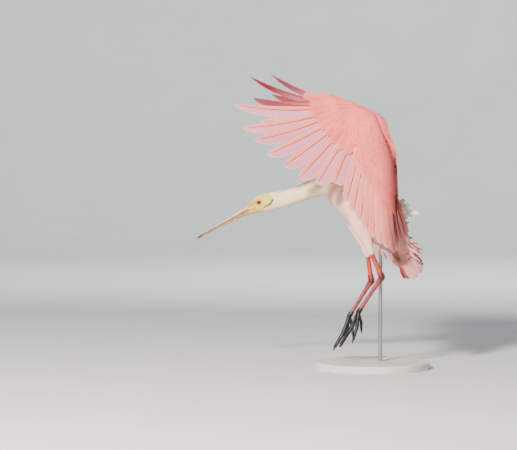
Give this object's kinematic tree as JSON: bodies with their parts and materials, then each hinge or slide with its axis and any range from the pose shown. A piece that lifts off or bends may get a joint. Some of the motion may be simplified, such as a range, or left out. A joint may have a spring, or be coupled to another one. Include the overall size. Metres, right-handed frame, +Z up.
{
  "type": "roseate spoonbill",
  "caption": "Life-size still model of a roseate spoonbill coming in to land, wings raised, neck and spoon-shaped bill stretched forward, legs hanging, held by a rod on a round base.",
  "frame": {"origin": "centre of the stand's underside", "axes": "+Z up, the bird heads towards -X, its left side is towards -Y"},
  "size_m": [0.6045, 0.3788, 0.7715],
  "materials": {
    "bare_skin": "matte, finely wrinkled",
    "bill": "satin",
    "neck_plumage": "soft matte",
    "plumage": "soft matte",
    "wing_feathers": "soft matte with a faint sheen",
    "tail_feathers": "soft matte with a faint sheen",
    "eye": "polished",
    "leg_skin": "satin",
    "foot_skin": "gloss",
    "stand_base": "painted, satin",
    "stand_rod": "satin"
  },
  "bodies": {
    "root": {"head": "bare_skin", "bill_upper": "bill", "bill_lower": "bill", "neck": "neck_plumage", "torso": "plumage", "tail": "tail_feathers", "eye_left": "eye", "wing_left_upper_arm": "wing_feathers", "wing_left_forearm": "wing_feathers", "wing_left_hand": "wing_feathers", "leg_left_thigh": "plumage", "leg_left_shank": "leg_skin", "leg_left_tarsus": "leg_skin", "leg_left_foot": "foot_skin", "eye_right": "eye", "wing_right_upper_arm": "wing_feathers", "wing_right_forearm": "wing_feathers", "wing_right_hand": "wing_feathers", "leg_right_thigh": "plumage", "leg_right_shank": "leg_skin", "leg_right_tarsus": "leg_skin", "leg_right_foot": "foot_skin", "stand_base": "stand_base", "stand_rod": "stand_rod"}
  },
  "joints": []
}
